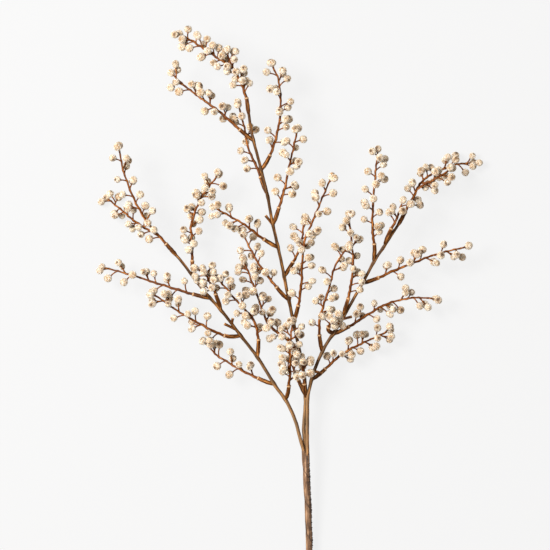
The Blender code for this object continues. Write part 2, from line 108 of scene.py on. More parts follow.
camera_data = bpy.data.cameras.new("camera")
camera_data.sensor_width = SENSOR_WIDTH
camera_data.lens = SENSOR_WIDTH * (CAMERA_HEIGHT - BRANCH_HEIGHT) / (PHOTO_WIDTH * MM)
camera = bpy.data.objects.new("camera", camera_data)
camera.location = (*placed((*PHOTO_CENTRE, 0.0))[:2], CAMERA_HEIGHT)
bpy.context.scene.collection.objects.link(camera)
bpy.context.scene.camera = camera

# Foot: the three stems' ends are bound together in brown paper tape, wound as a spiral with its
# edge lapping over the turn before. A ragged seam runs up its right side, and it is cut square at its
# lower end, where the wires show. Painted shade darkens each lap's edge, the seam and the right side,
# which faces away from the light.
TRUNK_RADII = (3.6, 4.3)
TRUNK_SIDES = 10
FOOT_HEIGHT = TRUNK_RADII[0] * math.cos(math.pi / TRUNK_SIDES)
FOOT_FLAT = 8.0
TRUNK_ROUTE = ((0, 0, FOOT_HEIGHT), (0, FOOT_FLAT, FOOT_HEIGHT), (-1, 60, 8.5), (-1.5, 112, 15),
               (-3, 160, 21), (-5, 200, 26.5), (-6, 228, 30))
STEM_SEATS = {"left_stem": (-2.4, 1.1), "middle_stem": (-0.2, -2.6), "right_stem": (2.3, 1.4)}
STEM_RADII = (2.05, 1.5)
SEAT_GAP = 0.3
SAMPLE_STEP = 1.5
WOUND_COLUMNS = 36
WOUND_STEP = 0.75
TAPE_PITCH = 41.0
TAPE_START = 0.20
TAPE_THICKNESS = 0.42
TAPE_TOP = 6.0
LAP_WIDTH = 0.022
TIGHT_FROM_TOP = 22.0
TIGHT_RUN = 18.0
FLAT_RUN = 14.0
SEAM_HEIGHT = 1.1
SEAM_TURN = 0.1
SEAM_WIDTH = 0.38
# Painted shade down the tape's right side, away from the light: its middle turn and its width.
SHADED_SIDE_TURN = 0.3
SHADED_SIDE_WIDTH = 1.4
WIRE_RADIUS = 0.85
WIRE_COLUMNS = 14
WIRES_CLOSER = 0.62


def unit(vectors):
    """Vectors at length one: each over its own length."""
    vectors = np.asarray(vectors, dtype=float)
    return vectors / np.linalg.norm(vectors, axis=-1, keepdims=True)


def bell(distance, width, power=2):
    """Bell curve, one in the middle: e to the minus (distance over width) to the power."""
    return np.exp(-(distance / width) ** power)


def full_turn(columns):
    """Angles of a ring's points: equal steps of one whole turn."""
    return np.arange(columns) * 2 * math.pi / columns


def half_turns(angles):
    """The same angles between minus and plus half a turn."""
    return np.mod(angles + math.pi, 2 * math.pi) - math.pi


def smooth_route(points, step=SAMPLE_STEP):
    """Close points on a Catmull-Rom curve: on each stretch a cubic that passes through its two ends
    and travels there along the line between their neighbours."""
    knots = np.array(points, dtype=float)
    knots = np.vstack([2 * knots[0] - knots[1], knots, 2 * knots[-1] - knots[-2]])
    curve = [knots[1][None]]
    for a, b, c, d in zip(knots, knots[1:], knots[2:], knots[3:]):
        count = max(2, int(np.linalg.norm(c - b) / step))
        t = (np.arange(1, count + 1) / count)[:, None]
        bend = (2 * a - 5 * b + 4 * c - d) * t * t + (3 * b - a - 3 * c + d) * t ** 3
        curve.append(0.5 * (2 * b + (c - a) * t + bend))
    return np.vstack(curve)


def lengths_along(route):
    """Distance from the route's start to each point: the running sum of its steps."""
    return np.concatenate([[0.0], np.cumsum(np.linalg.norm(np.diff(route, axis=0), axis=1))])


def points_at(route, distances):
    """Points of the route at distances from its start, on the straight runs between its points."""
    along = lengths_along(route)
    return np.column_stack([np.interp(distances, along, route[:, axis]) for axis in range(3)])


def direction_at(route, distance):
    """Direction of travel: from 2 mm before the place to 2 mm after it."""
    before, after = points_at(route, [distance - 2.0, distance + 2.0])
    return unit(after - before)


def carried_rings(route, radii, columns):
    """Grid of a ring carried along the route: point = route + radius (cos a sideways + sin a upward),
    with a from 0 to a full turn. Upward is z, or on a steep route the axis that it runs along least,
    less its part along the travel, and sideways is square to both. The radii are one for each ring,
    or one for each point."""
    travel = unit(np.gradient(route, axis=0))
    least = np.eye(3)[np.argmin(np.abs(travel).mean(axis=0))]
    if np.abs(travel[:, 2]).max() < 0.8:
        least = np.array((0.0, 0.0, 1.0))
    upward = unit(least - travel * (travel @ least)[:, None])[:, None]
    sideways = np.cross(travel, upward[:, 0])[:, None]
    turn = full_turn(columns)[None, :, None]
    spokes = np.cos(turn) * sideways + np.sin(turn) * upward
    radii = np.broadcast_to(np.asarray(radii).reshape(len(route), -1), (len(route), columns))
    return route[:, None] + radii[..., None] * spokes


def grid_faces(count, rows, columns, poles=2):
    """Faces of many like grids, each closed round its columns, with a fan to a pole at either end, or one
    flat face over the first row where there is no pole but the last. They face outwards where the
    columns turn clockwise, seen from the last row."""
    row, column = np.meshgrid(np.arange(rows - 1), np.arange(columns), indexing="ij")
    following = (column + 1) % columns
    quads = np.stack([row * columns + column, (row + 1) * columns + column,
                      (row + 1) * columns + following, row * columns + following], axis=-1)
    around = np.arange(columns)
    beside = (around + 1) % columns
    first = np.stack([around, beside, np.full(columns, rows * columns)], axis=-1)
    last_row = (rows - 1) * columns
    last_pole = np.full(columns, rows * columns + poles - 1)
    last = np.stack([last_row + beside, last_row + around, last_pole], axis=-1)
    offsets = (np.arange(count) * (rows * columns + poles))[:, None, None]
    quads = (quads.reshape(1, -1, 4) + offsets).reshape(-1, 4)
    if poles == 1:
        ends = [(around[None] + offsets[:, 0]), (last[None] + offsets).reshape(-1, 3)]
    else:
        ends = [(np.vstack([first, last])[None] + offsets).reshape(-1, 3)]
    return [quads, *ends]


def new_piece(name, surfaces, material, nodes):
    """One piece from surfaces. A surface is a pair: grids of points in millimetres, shaped grids, rows,
    columns and xyz, and its attributes, one value or vector for each grid point. A pole is the mean
    of the ring that it closes, unless the surface gives its poles, or its last one alone."""
    vertices, faces, marks, start = [], [], {}, 0
    for grids, attributes in surfaces:
        count, rows, columns, _ = grids.shape
        poles = attributes.pop("poles", grids[:, [0, -1]].mean(axis=2))
        vertices.append(np.concatenate([grids.reshape(count, -1, 3), poles], axis=1).reshape(-1, 3))
        for kind in grid_faces(count, rows, columns, poles.shape[1]):
            faces += (kind + start).tolist()
        start += count * (rows * columns + poles.shape[1])
        for mark, values in attributes.items():
            size = values.shape[3:] or (1,)
            values = values.reshape(count, rows, columns, *size)
            ends = values[:, [0, -1][-poles.shape[1]:]].mean(axis=2)
            whole = np.concatenate([values.reshape(count, -1, *size), ends], axis=1)
            marks.setdefault(mark, []).append(whole.reshape(-1, *size))
    mesh = bpy.data.meshes.new(name)
    mesh.from_pydata(placed(np.vstack(vertices)).tolist(), [], faces)
    for mark, values in marks.items():
        values = np.vstack(values)
        kind, field = ("FLOAT_VECTOR", "vector") if values.shape[1] == 3 else ("FLOAT", "value")
        attribute = mesh.attributes.new(mark, kind, "POINT")
        attribute.data.foreach_set(field, values.astype(np.float32).ravel())
    mesh.shade_smooth()
    mesh.materials.append(material)
    piece = bpy.data.objects.new(name, mesh)
    bpy.context.scene.collection.objects.link(piece)
    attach(piece, "root")
    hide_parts(*nodes)


def bark_place(route, radii, columns, stretch):
    """Where a grain pattern reads the surface, in millimetres: across the ring as it is, and along the
    route squeezed by the stretch, so that spots grow into streaks."""
    turn = full_turn(columns)
    across = np.asarray(radii).reshape(len(route), -1) * np.ones((1, columns))
    along = np.broadcast_to((lengths_along(route) * stretch)[:, None], across.shape)
    return np.stack([across * np.cos(turn), across * np.sin(turn), along], axis=-1)[None]


def add_node(tree, kind, inputs, **settings):
    """A node of a material with its settings, and its inputs given as values or as other outputs."""
    node = tree.nodes.new(kind)
    for name, value in settings.items():
        setattr(node, name, value)
    for name, value in inputs.items():
        if isinstance(value, bpy.types.NodeSocket):
            tree.links.new(value, node.inputs[name])
        else:
            node.inputs[name].default_value = value
    return node


def speckle(tree, place, scale, detail, roughness):
    """Noise of the place: its strength, from 0 to 1."""
    return add_node(tree, "ShaderNodeTexNoise", {
        "Vector": place, "Scale": scale, "Detail": detail, "Roughness": roughness}).outputs["Fac"]


def colour_steps(tree, factor, steps):
    """Colours laid along a factor from 0 to 1, blended between the steps."""
    ramp = add_node(tree, "ShaderNodeValToRGB", {"Fac": factor})
    band = ramp.color_ramp
    while len(band.elements) < len(steps):
        band.elements.new(0.5)
    for element, (place, colour) in zip(band.elements, steps):
        element.position = place
        element.color = (*colour, 1.0)
    return ramp.outputs["Color"]


def attribute_of(tree, name, output="Fac"):
    """A surface attribute, read as a value or as a vector."""
    return add_node(tree, "ShaderNodeAttribute", {}, attribute_name=name).outputs[output]


def laid_over(tree, share, under, over, blend="MIX"):
    """One colour laid over another by a share, mixed or multiplied."""
    return add_node(tree, "ShaderNodeMix", {"Factor": share, 6: under, 7: over},
                    data_type="RGBA", blend_type=blend).outputs[2]


# Mottling shared by tape, stems, twigs and felt: broad clouds and fine flecks of the same place,
# as masks from 0 to 1. Every handmade surface here is blotched at both scales.
mottling = bpy.data.node_groups.new("mottling", "ShaderNodeTree")
for socket_name, side, kind in (("Place", "INPUT", "NodeSocketVector"),
                                ("Cloud Scale", "INPUT", "NodeSocketFloat"),
                                ("Fleck Scale", "INPUT", "NodeSocketFloat"),
                                ("Fleck Amount", "INPUT", "NodeSocketFloat"),
                                ("Clouds", "OUTPUT", "NodeSocketFloat"),
                                ("Flecks", "OUTPUT", "NodeSocketFloat")):
    mottling.interface.new_socket(socket_name, in_out=side, socket_type=kind)
group_in = mottling.nodes.new("NodeGroupInput").outputs
group_out = mottling.nodes.new("NodeGroupOutput")
cloud_range = add_node(mottling, "ShaderNodeMapRange", {
    "Value": speckle(mottling, group_in["Place"], group_in["Cloud Scale"], 3.0, 0.55),
    "From Min": 0.32, "From Max": 0.68})
fleck_edge = add_node(mottling, "ShaderNodeMath", {
    0: 0.78, 1: group_in["Fleck Amount"]}, operation="SUBTRACT")
fleck_full = add_node(mottling, "ShaderNodeMath", {
    0: fleck_edge.outputs["Value"], 1: 0.12}, operation="ADD")
fleck_range = add_node(mottling, "ShaderNodeMapRange", {
    "Value": speckle(mottling, group_in["Place"], group_in["Fleck Scale"], 2.0, 0.6),
    "From Min": fleck_edge.outputs["Value"], "From Max": fleck_full.outputs["Value"]})
mottling.links.new(cloud_range.outputs["Result"], group_out.inputs["Clouds"])
mottling.links.new(fleck_range.outputs["Result"], group_out.inputs["Flecks"])


def mottled_base(name, place, cloud_scale, fleck_scale, fleck_amount, colours, fleck_colour, roughness):
    """Start of a mottled material that reads the named attribute: cloud colours darkened by flecks.
    Returns it with its tree, its shader, the colour and the two masks, to go on from."""
    material = bpy.data.materials.new(name)
    material.use_nodes = True
    tree = material.node_tree
    shader = tree.nodes["Principled BSDF"]
    shader.inputs["Roughness"].default_value = roughness
    masks = add_node(tree, "ShaderNodeGroup", {
        "Place": attribute_of(tree, place, "Vector"), "Cloud Scale": cloud_scale,
        "Fleck Scale": fleck_scale, "Fleck Amount": fleck_amount}, node_tree=mottling).outputs
    clouds = colour_steps(tree, masks["Clouds"], colours)
    colour = laid_over(tree, masks["Flecks"], clouds, (*fleck_colour, 1.0))
    return material, tree, shader, colour, masks


def raise_grain(tree, shader, height, depth):
    """Grain standing out by the depth in metres, as the shader's normal."""
    bump = add_node(tree, "ShaderNodeBump", {"Height": height, "Distance": depth, "Strength": 1.0})
    tree.links.new(bump.outputs["Normal"], shader.inputs["Normal"])


tape_paper, tape_tree, tape_shader, tape_colour, tape_masks = mottled_base(
    "tape_paper", "bark_place", 0.50, 1.9, 0.20,
    ((0.0, (0.052, 0.023, 0.009)), (0.5, (0.155, 0.076, 0.034)), (1.0, (0.42, 0.250, 0.140))),
    (0.055, 0.028, 0.013), 0.7)
# The tape's colour is multiplied by painted shade at the laps' edges, along the seam and down the right
# side.
tape_colour = laid_over(tape_tree, attribute_of(tape_tree, "painted_lap_shade"), tape_colour,
                        (0.11, 0.07, 0.045, 1.0), "MULTIPLY")
tape_tree.links.new(tape_colour, tape_shader.inputs["Base Color"])
raise_grain(tape_tree, tape_shader, tape_masks["Flecks"], 0.00018)

trunk = smooth_route(TRUNK_ROUTE)
trunk_length = lengths_along(trunk)[-1]
trunk_travel = direction_at(trunk, trunk_length)
trunk_sideways = unit(np.cross(trunk_travel, (0, 0, 1)))
trunk_upward = np.cross(trunk_sideways, trunk_travel)
wound = np.vstack([smooth_route(TRUNK_ROUTE, 0.8), trunk[-1] + trunk_travel * TAPE_TOP])
wound = points_at(wound, np.arange(0.0, trunk_length + TAPE_TOP, WOUND_STEP))
wound_along = lengths_along(wound)[:, None]
wound_turn = full_turn(WOUND_COLUMNS)[None]
round_radius = np.interp(wound_along, (FOOT_FLAT, trunk_length), TRUNK_RADII) - 0.12
# Near its top the tape lies on the three stems: the farthest stem's outline in each direction.
lobes = np.zeros_like(round_radius * wound_turn)
for across, up in STEM_SEATS.values():
    away, bearing = math.hypot(across, up), math.atan2(up, across)
    beside = STEM_RADII[0] ** 2 - (away * np.sin(wound_turn - bearing)) ** 2
    reach = away * np.cos(wound_turn - bearing) + np.sqrt(np.maximum(beside, 0.0))
    lobes = np.maximum(lobes, np.where(beside > 0, reach, 0.0))
lobes = np.maximum(lobes, 3.3) + 0.25
tight = np.clip((wound_along - (trunk_length - TIGHT_FROM_TOP)) / TIGHT_RUN, 0.0, 1.0) ** 1.5
wrapped = round_radius * (1 - tight) + lobes * tight
turns_of_tape = (wound_along / TAPE_PITCH + TAPE_START - wound_turn / (2 * math.pi)) % 1.0
tape_step = TAPE_THICKNESS * np.clip(turns_of_tape * 30.0, 0.0, 1.0) * (1.0 - 0.8 * turns_of_tape)
# Creases and the seam's raggedness are sums of sine waves, whose lengths never fall in step.
creases = (0.10 * np.sin(wound_turn * 5 + wound_along * 0.23) * np.sin(wound_along * 0.11 + 1.0)
           + 0.07 * np.sin(wound_turn * 9 - wound_along * 0.31)
           + 0.14 * np.sin(wound_turn * 2 + wound_along * 0.17)
           + 0.06 * np.sin(wound_along * 1.9 + 2 * wound_turn) * np.sin(wound_along * 0.29))
ragged = np.clip(0.45 + 0.6 * np.sin(wound_along * 1.37) * np.sin(wound_along * 0.53 + 1.0)
                 + 0.45 * np.sin(wound_along * 2.9 + 0.7), 0.0, 1.2)
seam = bell(half_turns(wound_turn - SEAM_TURN + 0.25 * np.sin(wound_along * 0.31)), SEAM_WIDTH) * ragged
off_table = np.clip(wound_along / FLAT_RUN, 0.0, 1.0)
relief = tape_step + creases + SEAM_HEIGHT * seam * (1 - tight)
wound_radii = wrapped + relief * (0.35 + 0.65 * off_table)
# Painted shade: darker at each lap's edge and along the seam, and over the right side away from the
# light.
lap_shade = bell(np.minimum(turns_of_tape, 1 - turns_of_tape), LAP_WIDTH)
painted_side_shade = bell(half_turns(wound_turn - SHADED_SIDE_TURN), SHADED_SIDE_WIDTH, 4) * (0.38 + 0.55 * ragged)
lap_shade = np.clip(np.maximum(lap_shade, 1.6 * seam) + painted_side_shade, 0.0, 1.0)
trunk_grid = carried_rings(wound, wound_radii, WOUND_COLUMNS)[None]
torn_top = 2.4 * np.sin(wound_turn * 3 + 0.6) + 1.5 * np.sin(wound_turn * 7)
trunk_grid = trunk_grid + (torn_top * tight ** 2)[None, ..., None] * trunk_travel
trunk_grid[..., 2] = np.maximum(trunk_grid[..., 2], 0.0)
new_piece("foot_tape", [(trunk_grid, {
    "bark_place": bark_place(wound, wound_radii, WOUND_COLUMNS, 0.11),
    "painted_lap_shade": (lap_shade * np.ones_like(wound_radii))[None]})],
    tape_paper, ["trunk_wrap"])

wire_steel, wire_tree, wire_shader, wire_colour, _ = mottled_base(
    "wire_steel", "bark_place", 1.2, 6.0, 0.18,
    ((0.0, (0.25, 0.24, 0.22)), (1.0, (0.46, 0.44, 0.41))), (0.12, 0.07, 0.04), 0.42)
wire_shader.inputs["Metallic"].default_value = 0.9
wire_tree.links.new(wire_colour, wire_shader.inputs["Base Color"])
wire_surfaces = []
for across, up in STEM_SEATS.values():
    middle = np.array((across * WIRES_CLOSER, 0.0, FOOT_HEIGHT + up * WIRES_CLOSER))
    run = middle + np.array((0.0, 1.0, 0.0)) * np.array((-0.7, -0.62, -0.3, 3.0))[:, None]
    wire_radii = WIRE_RADIUS * np.array((0.55, 0.85, 1.0, 1.0))
    wire_surfaces.append((carried_rings(run, wire_radii, WIRE_COLUMNS)[None],
                          {"bark_place": bark_place(run, wire_radii, WIRE_COLUMNS, 1.0)}))
new_piece("wire_ends", wire_surfaces, wire_steel, ["trunk_wrap"])

# Stems: steel wires in a moulded dark brown bark with streaks along it, thicker at the knuckles where
# a sprig is plugged in, and pale on its upper left near the foot, which is painted light on the side
# the light falls on. Each keeps a few short pegs where sprigs were left off.
STEM_SEGMENT = 17.0
STRAIGHT_START = 6.0
STEM_ROUTES = {
    "left_stem": (
        (-13, 250, 33), (-19, 272, 36), (-30, 297, 40), (-45, 318, 43), (-66, 352, 47), (-92, 386, 50),
        (-112, 412, 52), (-135, 438, 53), (-160, 471, 53), (-170, 483, 53)),
    "middle_stem": (
        (-8.5, 262, 27), (-7, 285, 29), (-6, 305, 32), (-8, 330, 37), (-14, 360, 43), (-19, 385, 48),
        (-28, 428, 56), (-38, 478, 64), (-48, 522, 70), (-54, 555, 74), (-62, 588, 77), (-70, 618, 79),
        (-75, 640, 80), (-78, 660, 80)),
    "right_stem": (
        (-4, 262, 33.5), (-3.5, 300, 36), (0, 320, 38), (6, 340, 40), (18, 367, 43), (31, 387, 46),
        (42, 406, 49), (66, 449, 55), (80, 475, 58), (95, 498, 61), (110, 521, 63)),
}
PEG_RADIUS = 1.45
PEG_RISE = 2.0
PEG_COLUMNS = 12
PEG_PLACES = (0.0, 0.25, 0.5, 0.75, 0.93, 0.985, 1.0, 1.004, 1.008)
PEG_SWELL = (1.45, 1.30, 1.18, 1.20, 1.24, 1.20, 1.10, 0.85, 0.3)
PEG_TORN = (0, 0, 0, 0, 0, 0.2, 0.7, 0.9, 0.9)
PEGS = {
    "left_stem": (((-95, 389), (-109, 396)), ((-99, 396), (-98, 403))),
    "middle_stem": (((-48, 521), (-57, 532)), ((-27, 424), (-24, 437))),
    "right_stem": (((35, 395), (32, 410)), ((40, 402), (52, 405)), ((5, 336), (15, 333))),
}
STEM_COLUMNS = 18
BARK_THICKNESS = 0.28
SUNK_FOOT = ((9.0,), (6.0,), (3.0,))
# Painted light on the stems' upper left side, which faces the light: where along the stem and how much.
LIT_SIDE_RUN = (60.0, 190.0)
LIT_SIDE_SHARES = (0.24, 0.03)


def nearest(route, x, y):
    """Index of the route's point that lies nearest, seen from above."""
    return int(np.argmin(np.hypot(route[:, 0] - x, route[:, 1] - y)))


def along_chords(rings):
    """Close points on the straight runs between a tube's rings."""
    total = lengths_along(rings)[-1]
    return points_at(rings, np.linspace(0, total, int(total / SAMPLE_STEP)))


def bark_material(name, colours, fleck_colour, roughness, shine):
    """Moulded bark: streaks drawn out along the stem, fine dark flecks and a soft plastic shine. The
    surface's tone leads from the old bark's colours to the young bark's. Torn edges show pale, and so
    does a stem's upper left side, which faces the light, as painted light."""
    material, tree, shader, colour, masks = mottled_base(
        name, "bark_place", 0.62, 2.2, 0.20, colours[0], fleck_colour, roughness)
    young = colour_steps(tree, masks["Clouds"], colours[1])
    colour = laid_over(tree, attribute_of(tree, "tone"), colour, young)
    colour = laid_over(tree, attribute_of(tree, "torn_and_lit"), colour, TORN_AND_LIT_COLOUR)
    tree.links.new(colour, shader.inputs["Base Color"])
    shader.inputs["Specular IOR Level"].default_value = shine
    raise_grain(tree, shader, masks["Clouds"], 0.00012)
    return material


OLD_BARK = ((0.0, (0.016, 0.006, 0.001)), (0.62, (0.052, 0.020, 0.0035)), (1.0, (0.32, 0.138, 0.034)))
YOUNG_BARK = ((0.0, (0.040, 0.009, 0.001)), (0.55, (0.108, 0.030, 0.003)), (1.0, (0.37, 0.138, 0.034)))
# Pale of torn edges, and also painted light on the stems' lit upper left side.
TORN_AND_LIT_COLOUR = (0.58, 0.38, 0.21, 1.0)
stem_bark = bark_material("stem_bark", (OLD_BARK, YOUNG_BARK), (0.022, 0.009, 0.003), 0.45, 0.12)

# Each sprig's stem, route seen from above, heights spread evenly along it, and berries from base to
# tip: r right, l left, f front, b back, a capital for a forked stalk, t at the tip
SPRIGS = {
    "sprig_left_1": ("left_stem", (
        (-46, 318), (-60, 324), (-75, 331), (-88, 337), (-100, 344), (-110, 350), (-120, 357),
        (-134, 372)), (43, 38, 32, 27), "RflRlrRft"),
    "sprig_left_2": ("left_stem", (
        (-88, 380), (-104, 380), (-121, 386), (-139, 396), (-157, 406), (-177, 419), (-198, 434)),
        (49, 55, 60, 62), "lfrLrflRfRLft"),
    "sprig_left_3": ("left_stem", (
        (-126, 428), (-147, 433), (-168, 439), (-200, 449), (-225, 457), (-262, 467)),
        (53, 48, 40, 30), "rlRlrRflRlft"),
    "sprig_left_4": ("left_stem", (
        (-112, 412), (-121, 437), (-128, 451), (-134, 464)), (52, 62, 75), "LlffRlrRlfLt"),
    "sprig_left_5": ("left_stem", (
        (-145, 451), (-149, 470), (-150, 505), (-151, 520), (-144, 543), (-133, 563), (-118, 582)),
        (53, 44, 41, 46), "fflLrlbRrLlffLrRblrft"),
    "sprig_left_6": ("left_stem", (
        (-66, 353), (-66, 378), (-72, 401), (-82, 413), (-97, 429), (-104, 438), (-116, 452)),
        (47, 56, 62), "rLbFlfRlfRlrt"),
    "sprig_left_7": ("left_stem", (
        (-31, 299), (-28, 313), (-26, 345), (-26, 372), (-23, 397)), (40, 58, 70, 76),
        "RllLrlRlrflRLrft"),
    "sprig_middle_1": ("middle_stem", (
        (-6, 303), (-19, 333), (-28, 362)), (31, 19, 11), "rlbRlrft"),
    "sprig_middle_2": ("middle_stem", (
        (-6, 300), (-8, 320), (-11, 352)), (33, 50, 64), "rlRft"),
    "sprig_middle_3": ("middle_stem", (
        (-14, 360), (-30, 377), (-46, 388), (-56, 400), (-64, 422), (-71, 440), (-85, 477)),
        (43, 36, 30, 28), "LrrlRfLRrflRlRlLft"),
    "sprig_middle_4": ("middle_stem", (
        (-28, 424), (-42, 441), (-56, 459), (-70, 479), (-86, 511)), (56, 62, 63, 58), "rfLrBlrft"),
    "sprig_middle_5": ("middle_stem", (
        (-33, 455), (-20, 478), (-12, 496), (-9, 522)), (60, 50, 40), "lfRlrlft"),
    "sprig_middle_6": ("middle_stem", (
        (-42, 492), (-60, 503), (-80, 518), (-98, 529), (-120, 541)), (67, 76, 84, 88), "rlRlLrLft"),
    "sprig_middle_7": ("middle_stem", (
        (-47, 520), (-40, 542), (-33, 565), (-27, 594), (-17, 638)), (70, 78, 85, 90),
        "lrRlfrRLblrft"),
    "sprig_middle_8": ("middle_stem", (
        (-62, 588), (-51, 608), (-42, 636), (-38, 665), (-40, 700), (-49, 722)), (77, 70, 62, 55),
        "LrlrRrBrfLrRlft"),
    "sprig_middle_9": ("middle_stem", (
        (-72, 624), (-88, 638), (-113, 660), (-138, 679), (-158, 694), (-173, 709)),
        (79, 84, 76, 62), "bbRflRfrRlflRt"),
    "sprig_middle_10": ("middle_stem", (
        (-55, 554), (-66, 588), (-78, 615), (-83, 640), (-91, 672)), (74, 66, 62, 62), "lLlbRlLft"),
    "sprig_middle_top": ("middle_stem", (
        (-79, 667), (-81, 680), (-89, 700), (-97, 715), (-105, 733)), (80, 84, 87), "rRllRrLlflRft"),
    "sprig_centre": ("middle_stem", (
        (-19, 398), (-16, 418), (-12, 445), (-11, 470), (-8, 500), (3, 527), (15, 556), (24, 577)),
        (51, 74, 82, 88), "lrrLrRflfRlfrLrLft"),
    "sprig_right_1": ("right_stem", (
        (1, 324), (15, 335), (30, 349), (50, 363), (73, 374), (99, 386)), (38, 31, 26, 24),
        "llfRrLrlLRflRft"),
    "sprig_right_2": ("right_stem", (
        (14, 360), (11, 382), (12, 405), (22, 438), (31, 470), (47, 494)), (42, 56, 66, 72),
        "lbRLRrflRrlft"),
    "sprig_right_3": ("right_stem", (
        (29, 384), (22, 388), (24, 396), (33, 408)), (46, 66, 84), "lRfrft"),
    "sprig_right_4": ("right_stem", (
        (38, 400), (47, 427), (52, 455), (53, 480), (48, 532)), (49, 60, 60, 52), "rrRflbLRrLlft"),
    "sprig_right_5": ("right_stem", (
        (27, 381), (48, 392), (67, 404), (95, 420), (125, 428), (157, 428)), (45, 42, 37, 32),
        "LLrBrRrLlrRft"),
    "sprig_right_6": ("right_stem", (
        (64, 446), (83, 453), (105, 463), (135, 475), (160, 484), (197, 493)), (55, 50, 46, 42),
        "LrlfLlRrlRrft"),
    "sprig_right_7": ("right_stem", (
        (78, 472), (80, 490), (77, 520), (78, 555), (80, 580), (83, 612)), (58, 70, 80, 86),
        "rRlrLflfRlrRft"),
    "sprig_right_8": ("right_stem", (
        (90, 490), (99, 512), (108, 530), (114, 548)), (60, 70, 77), "lLfrt"),
    "sprig_right_tip": ("right_stem", (
        (115, 529), (126, 550), (142, 577), (165, 591), (185, 598), (206, 601)),
        (63, 56, 46, 34, 20, 6), "rrlLrRLllRrLllrRft"),
    "sprig_left_tip": ("left_stem", (
        (-175, 489), (-186, 501), (-200, 517), (-213, 536), (-225, 560), (-236, 592), (-240, 616)),
        (53, 60, 67, 70), "lfFrrLrlRlbRlft"),
}
END_SPRIGS = ("sprig_middle_top", "sprig_right_tip", "sprig_left_tip")
KNUCKLE_SWELL = 0.42
KNUCKLE_REACH = 4.5

stems = {}
for name, (across, up) in STEM_SEATS.items():
    seat = trunk[-1] + trunk_travel * SEAT_GAP + trunk_sideways * across + trunk_upward * up
    bends = [seat, seat + trunk_travel * STRAIGHT_START, *STEM_ROUTES[name]]
    route = smooth_route(bends)
    total = lengths_along(route)[-1]
    rings = points_at(route, np.linspace(0.0, total, int(total / STEM_SEGMENT) + 1))
    stems[name] = along_chords(rings)
    route = np.vstack([seat - trunk_travel * np.array(SUNK_FOOT), smooth_route(bends, 1.0)])
    along = lengths_along(route)
    radii = np.interp(along, (0, along[-1]), STEM_RADII) + BARK_THICKNESS
    joints = [nearest(route, *SPRIGS[sprig][1][0]) for sprig in SPRIGS
              if SPRIGS[sprig][0] == name and sprig not in END_SPRIGS]
    for joint in joints:
        radii = radii + KNUCKLE_SWELL * bell(along - along[joint] - 1.5, KNUCKLE_REACH)
    turn = full_turn(STEM_COLUMNS)[None]
    far = along[:, None]
    radii = radii[:, None] * (1 + 0.035 * np.sin(3 * turn + 0.13 * far) + 0.03 * np.sin(0.41 * far + turn)
                              + 0.025 * np.sin(1.13 * far) * np.sin(2 * turn))
    # Painted light: the upper left side, facing the light, is turned pale near the foot.
    painted_lighting = np.interp(far, LIT_SIDE_RUN, LIT_SIDE_SHARES) * np.clip(0.45 - 0.6 * np.cos(turn + 0.4), 0, 1)
    surfaces = [(carried_rings(route, radii, STEM_COLUMNS)[None], {
        "bark_place": bark_place(route, radii, STEM_COLUMNS, 0.08),
        "tone": np.full((1, len(route), STEM_COLUMNS), 0.06),
        "torn_and_lit": painted_lighting[None]})]
    for (x, y), tip in PEGS[name]:
        root = stems[name][nearest(stems[name], x, y)]
        end = np.array((*tip, root[2] + PEG_RISE))
        peg = root + (end - root) * np.array(PEG_PLACES)[:, None]
        radii = PEG_RADIUS * np.array(PEG_SWELL)
        surfaces.append((carried_rings(peg, radii, PEG_COLUMNS)[None], {
            "bark_place": bark_place(peg, radii, PEG_COLUMNS, 0.2) + 17.0 * x,
            "tone": np.full((1, len(peg), PEG_COLUMNS), 0.45),
            "torn_and_lit": np.tile(np.array(PEG_TORN)[None, :, None], (1, 1, PEG_COLUMNS))}))
    new_piece(name + "_bark", surfaces, stem_bark, [name])

# Sprigs: orange-brown moulded twigs on a thick dark plug that ends in a torn ring. Thin stalks leave a
# twig at small bends. The berries' places follow the same rule as in the solids, which leave every
# second one out.
UPWARD_HINT = (0.13, 0.21, 0.97)
# A fork's route seen from above, its heights and its berries, given as a sprig's are.
FORKS = {
    "sprig_middle_top": (((-96, 714), (-110, 724), (-124, 733), (-147, 749), (-162, 758)),
                         (85, 84, 78, 70), "lrlrRllrRlrlLrft"),
    "sprig_right_tip": (((135, 566), (146, 573), (160, 580), (175, 590)), (51, 55, 58), "rrLrRft"),
    "sprig_left_tip": (((-192, 507), (-202, 513), (-220, 524), (-240, 540), (-259, 555)),
                       (64, 52, 30, 5), "lrLrrLlRft"),
}
RESTING_TWIGS = ("sprig_right_tip", "sprig_left_tip_fork")
TRY_TURNS = (0, 25, -25, 50, -50, 80, -80, 110, -110, 145)
TRY_LENGTHS = (1.0, 1.25, 0.8)
SIDE_TURNS = {"r": 0, "f": 90, "l": 180, "b": 270}
BERRY_DIAMETER = 9.5
HIGHEST_BERRY = 98.8
STALK_LENGTH = 9.5
STALK_LEAN = 52
STALK_RADIUS = 0.65
TWIG_RADIUS = 1.0
PLUG_RADIUS = 2.0
PLUG_END_RADIUS = 1.25
PLUG_LENGTH = 18.0
TWIG_SEGMENT = 14.0
SEAT_STEP = 0.1
CLEARANCE = 0.6
BARE_AFTER_PLUG = 3.0
BARE_SIDE_TWIG = 6.0
BARE_TIP = 3.0
LONGEST_BARE = 0.45
PAIR_TURN = 26
PLACE_PLAY = 0.2
TURN_PLAY = 28
LEAN_PLAY = 9
LENGTH_PLAY = 0.2
SIZE_PLAY = 0.07
SECOND_LENGTH = 1.12
RESTING_HEIGHT = 0.86 * BERRY_DIAMETER / 2
FLOOR_CLEARANCE = 2.0
SUNK_PLUG = 2.2
TWIG_COLUMNS = 14
TWIG_STEP = 1.7
RING_STEP = 0.4
RING_REACH = 2.4
BEND_DEPTH = 0.55
